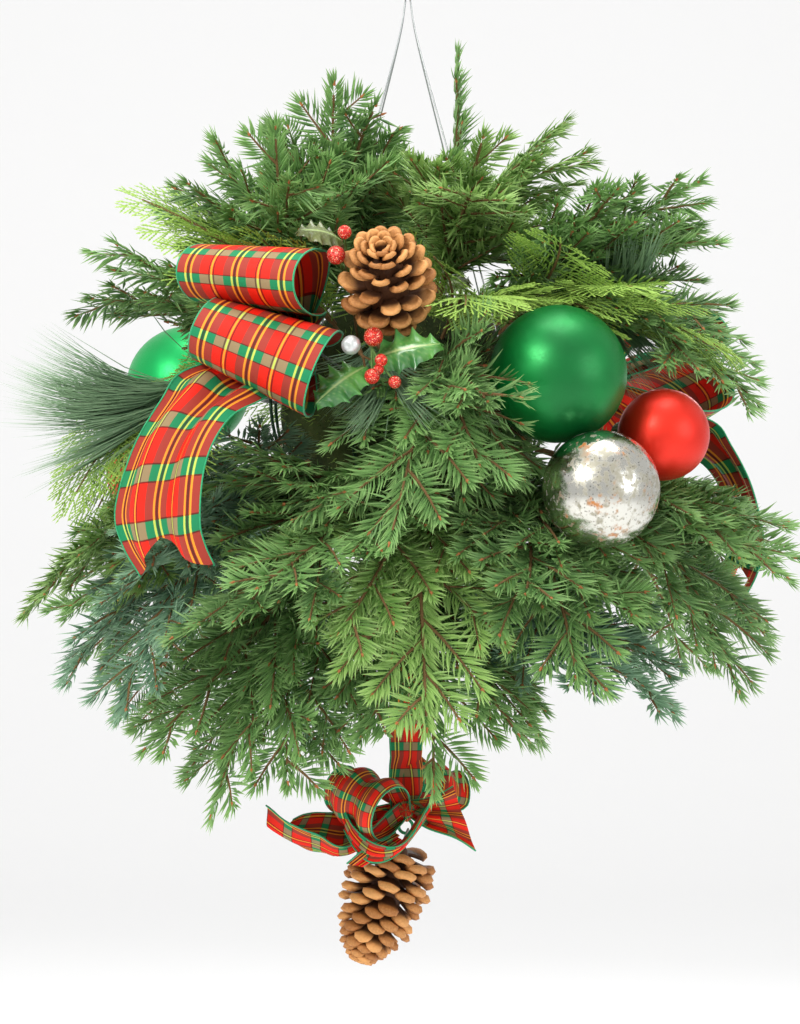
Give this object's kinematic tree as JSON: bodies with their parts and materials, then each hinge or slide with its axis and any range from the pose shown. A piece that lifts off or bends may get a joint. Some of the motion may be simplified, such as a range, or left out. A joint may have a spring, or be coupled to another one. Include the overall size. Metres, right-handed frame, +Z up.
{
  "type": "christmas greens basket",
  "caption": "hanging wire basket stuck all round with fir, cedar and pine, with ornament balls, tartan bows, cones, holly and berries, hung by wires from a ring",
  "frame": {"origin": "the highest point of the hanging ring's hole, where a hook carries it", "axes": "+Z up, the picture's front at -Y, +X to the right of the front view"},
  "size_m": [0.6903, 0.6888, 0.8696],
  "materials": {
    "wire": "satin",
    "basket_wire": "satin",
    "moss": "matte",
    "fir": "satin",
    "cedar": "satin",
    "pine": "satin",
    "holly": "gloss",
    "berry": "glitter",
    "cone": "matte",
    "tartan": "matte",
    "green_ball": "satin",
    "red_ball": "satin",
    "silver_ball": "speckled",
    "cap": "satin"
  },
  "bodies": {
    "root": {"ball_green_front": "green_ball", "ball_green_rear": "green_ball", "ball_red_front": "red_ball", "ball_red_rear": "red_ball", "ball_silver_front": "silver_ball", "basket_frame": "basket_wire", "berries_front": "berry", "berries_rear": "berry", "bow_front": "tartan", "bow_front_pick": "wire", "bow_low": "tartan", "bow_rear": "tartan", "bow_rear_pick": "wire", "cedar_left": "cedar", "cedar_low_left": "cedar", "cedar_middle": "cedar", "cedar_over_ball": "cedar", "cedar_rear": "cedar", "cone_front": "cone", "cone_low": "cone", "cone_low_eye": "wire", "cone_rear": "cone", "fir_back": "fir", "fir_back_left": "fir", "fir_back_shoulder": "fir", "fir_back_top": "fir", "fir_front_foot": "fir", "fir_front_left": "fir", "fir_front_low": "fir", "fir_front_middle": "fir", "fir_left_hem": "fir", "fir_left_low": "fir", "fir_left_shoulder": "fir", "fir_left_side": "fir", "fir_left_tip": "fir", "fir_right_front": "fir", "fir_right_high": "fir", "fir_right_low": "fir", "fir_right_side": "fir", "fir_right_tip": "fir", "fir_top": "fir", "fir_top_left": "fir", "fir_upper_left": "fir", "fir_upper_right": "fir", "hang_ring": "wire", "hanger_wire_1": "wire", "hanger_wire_2": "wire", "hanger_wire_3": "wire", "hanger_wire_4": "wire", "holly_front": "holly", "holly_rear": "holly", "moss_ball": "moss", "pick_green_front": "cap", "pick_green_rear": "cap", "pick_red_front": "cap", "pick_red_rear": "cap", "pick_silver_front": "cap", "pine_front": "pine", "pine_left": "pine", "pine_right": "pine"}
  },
  "joints": []
}
